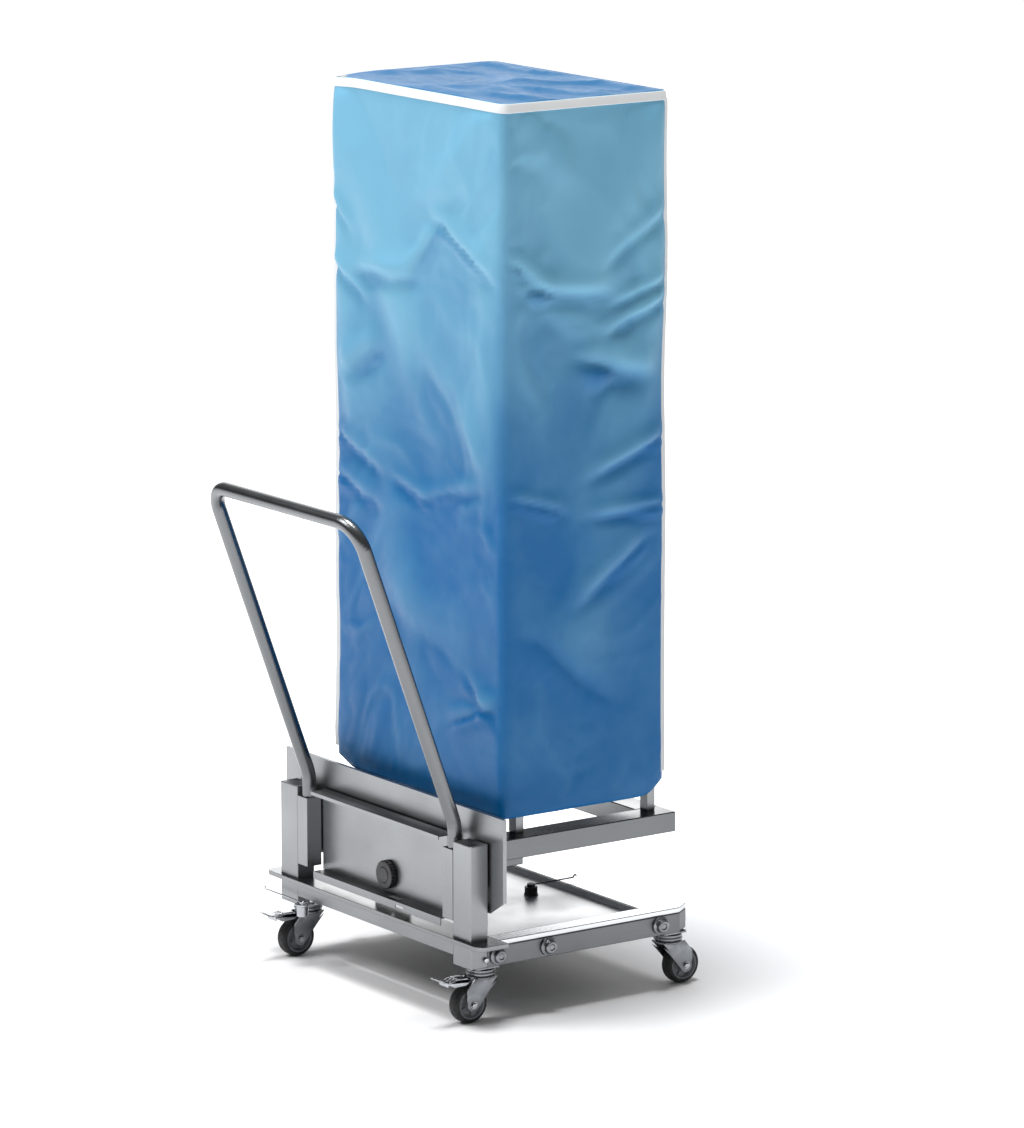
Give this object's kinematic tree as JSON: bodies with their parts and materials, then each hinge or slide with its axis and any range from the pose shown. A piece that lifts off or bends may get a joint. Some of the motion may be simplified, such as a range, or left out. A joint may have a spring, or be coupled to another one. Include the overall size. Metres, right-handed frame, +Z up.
{
  "type": "linen trolley",
  "caption": "Wheeled stainless base with plug-in push handle and a clamped height-adjustable carriage carrying a tall shelf rack under a lift-off fabric cover",
  "frame": {"origin": "middle of the footprint's bounding box, on the floor under the wheels", "axes": "+Z up; +Y from the push-handle end towards the load end; +X to the trolley's right-hand side seen from the handle"},
  "size_m": [0.75, 0.7732, 1.752],
  "materials": {
    "satin_stainless": "satin",
    "polished_stainless": "polished",
    "zinc_plated_steel": "satin",
    "black_plastic": "satin",
    "grey_plastic": "satin",
    "black_rubber": "matte",
    "coated_fabric": "satin",
    "white_binding": "satin"
  },
  "bodies": {
    "base": {"post_right": "satin_stainless", "post_left": "satin_stainless", "side_rail_right": "satin_stainless", "side_rail_left": "satin_stainless", "handle_end_rail": "satin_stainless", "load_end_rail": "satin_stainless", "tray_bearer": "satin_stainless", "deck_rim": "polished_stainless", "step_plate": "polished_stainless", "lock_lever_hub": "zinc_plated_steel", "side_buffer_1_right": "zinc_plated_steel", "side_buffer_1_left": "zinc_plated_steel", "side_buffer_2_right": "zinc_plated_steel", "side_buffer_2_left": "zinc_plated_steel", "side_buffer_3_right": "zinc_plated_steel", "side_buffer_3_left": "zinc_plated_steel", "handle_socket_right": "satin_stainless", "handle_socket_left": "satin_stainless", "front_panel": "satin_stainless", "guide_shoe_right": "black_plastic", "guide_shoe_left": "black_plastic", "clamp_nut": "zinc_plated_steel", "handle_caster_left_swivel_head": "zinc_plated_steel", "handle_caster_right_swivel_head": "zinc_plated_steel", "load_caster_left_swivel_head": "zinc_plated_steel", "load_caster_right_swivel_head": "zinc_plated_steel"},
    "carriage": {"carriage_plate": "satin_stainless", "carriage_arm_right": "polished_stainless", "carriage_arm_left": "polished_stainless", "arm_cross_member": "polished_stainless"},
    "clamp": {"clamp_knob": "black_plastic"},
    "handle": {"push_handle": "satin_stainless"},
    "tray": {"deck_tray": "satin_stainless", "tray_latch_hub": "black_plastic"},
    "tray_latch": {"tray_latch_lever": "black_plastic"},
    "lock": {"lock_lever": "zinc_plated_steel"},
    "rack": {"rack_frame": "satin_stainless", "shelf_1": "satin_stainless", "shelf_2": "satin_stainless", "shelf_3": "satin_stainless", "shelf_4": "satin_stainless"},
    "cover": {"cover": "coated_fabric"},
    "handle_caster_left_fork": {"handle_caster_left_fork": "zinc_plated_steel", "handle_caster_left_axle": "zinc_plated_steel"},
    "handle_caster_left_wheel": {"handle_caster_left_wheel_core": "grey_plastic", "handle_caster_left_tyre": "black_rubber"},
    "handle_caster_left_brake": {"handle_caster_left_brake_pedal": "zinc_plated_steel"},
    "handle_caster_right_fork": {"handle_caster_right_fork": "zinc_plated_steel", "handle_caster_right_axle": "zinc_plated_steel"},
    "handle_caster_right_wheel": {"handle_caster_right_wheel_core": "grey_plastic", "handle_caster_right_tyre": "black_rubber"},
    "handle_caster_right_brake": {"handle_caster_right_brake_pedal": "zinc_plated_steel"},
    "load_caster_left_fork": {"load_caster_left_fork": "zinc_plated_steel", "load_caster_left_axle": "zinc_plated_steel"},
    "load_caster_left_wheel": {"load_caster_left_wheel_core": "grey_plastic", "load_caster_left_tyre": "black_rubber"},
    "load_caster_right_fork": {"load_caster_right_fork": "zinc_plated_steel", "load_caster_right_axle": "zinc_plated_steel"},
    "load_caster_right_wheel": {"load_caster_right_wheel_core": "grey_plastic", "load_caster_right_tyre": "black_rubber"}
  },
  "joints": [
    {"name": "carriage_height", "type": "slide", "parent": "base", "child": "carriage", "axis": [0, 0, 1], "range_m": [0, 0.035]},
    {"name": "clamp_turn", "type": "hinge", "parent": "base", "child": "clamp", "pos_m": [0, -0.13886, 0.225], "axis": [0, 1, 0], "range_deg": [0, 270]},
    {"name": "handle_lift_out", "type": "slide", "parent": "base", "child": "handle", "axis": [0, 0, 1], "range_m": [0, 0.11]},
    {"name": "tray_lift_out", "type": "slide", "parent": "base", "child": "tray", "axis": [0, 0, 1], "range_m": [0, 0.1]},
    {"name": "tray_latch_swing", "type": "hinge", "parent": "tray", "child": "tray_latch", "pos_m": [0.045, 0.17314, 0.167], "axis": [0, 0, 1], "range_deg": [-90, 90]},
    {"name": "lock_lever_swing", "type": "hinge", "parent": "base", "child": "lock", "pos_m": [-0.223, -0.18886, 0.128], "axis": [0, 0, 1], "range_deg": [0, 90]},
    {"name": "rack_lift_off", "type": "slide", "parent": "carriage", "child": "rack", "axis": [0, 0, 1], "range_m": [0, 0.06]},
    {"name": "cover_lift_off", "type": "slide", "parent": "rack", "child": "cover", "axis": [0, 0, 1], "range_m": [0, 1.4]},
    {"name": "handle_caster_left_swivel", "type": "hinge", "parent": "base", "child": "handle_caster_left_fork", "pos_m": [-0.3, -0.12486, 0.091], "axis": [0, 0, 1], "continuous": true},
    {"name": "handle_caster_left_roll", "type": "hinge", "parent": "handle_caster_left_fork", "child": "handle_caster_left_wheel", "pos_m": [-0.3, -0.15486, 0.0375], "axis": [1, 0, 0], "continuous": true},
    {"name": "handle_caster_left_brake_press", "type": "hinge", "parent": "handle_caster_left_fork", "child": "handle_caster_left_brake", "pos_m": [-0.3, -0.15286, 0.0802], "axis": [1, 0, 0], "range_deg": [0, 12]},
    {"name": "handle_caster_right_swivel", "type": "hinge", "parent": "base", "child": "handle_caster_right_fork", "pos_m": [0.3, -0.12486, 0.091], "axis": [0, 0, 1], "continuous": true},
    {"name": "handle_caster_right_roll", "type": "hinge", "parent": "handle_caster_right_fork", "child": "handle_caster_right_wheel", "pos_m": [0.3, -0.15486, 0.0375], "axis": [1, 0, 0], "continuous": true},
    {"name": "handle_caster_right_brake_press", "type": "hinge", "parent": "handle_caster_right_fork", "child": "handle_caster_right_brake", "pos_m": [0.3, -0.15286, 0.0802], "axis": [1, 0, 0], "range_deg": [0, 12]},
    {"name": "load_caster_left_swivel", "type": "hinge", "parent": "base", "child": "load_caster_left_fork", "pos_m": [-0.3, 0.31914, 0.091], "axis": [0, 0, 1], "continuous": true},
    {"name": "load_caster_left_roll", "type": "hinge", "parent": "load_caster_left_fork", "child": "load_caster_left_wheel", "pos_m": [-0.3, 0.34914, 0.0375], "axis": [1, 0, 0], "continuous": true},
    {"name": "load_caster_right_swivel", "type": "hinge", "parent": "base", "child": "load_caster_right_fork", "pos_m": [0.3, 0.31914, 0.091], "axis": [0, 0, 1], "continuous": true},
    {"name": "load_caster_right_roll", "type": "hinge", "parent": "load_caster_right_fork", "child": "load_caster_right_wheel", "pos_m": [0.3, 0.34914, 0.0375], "axis": [1, 0, 0], "continuous": true}
  ]
}
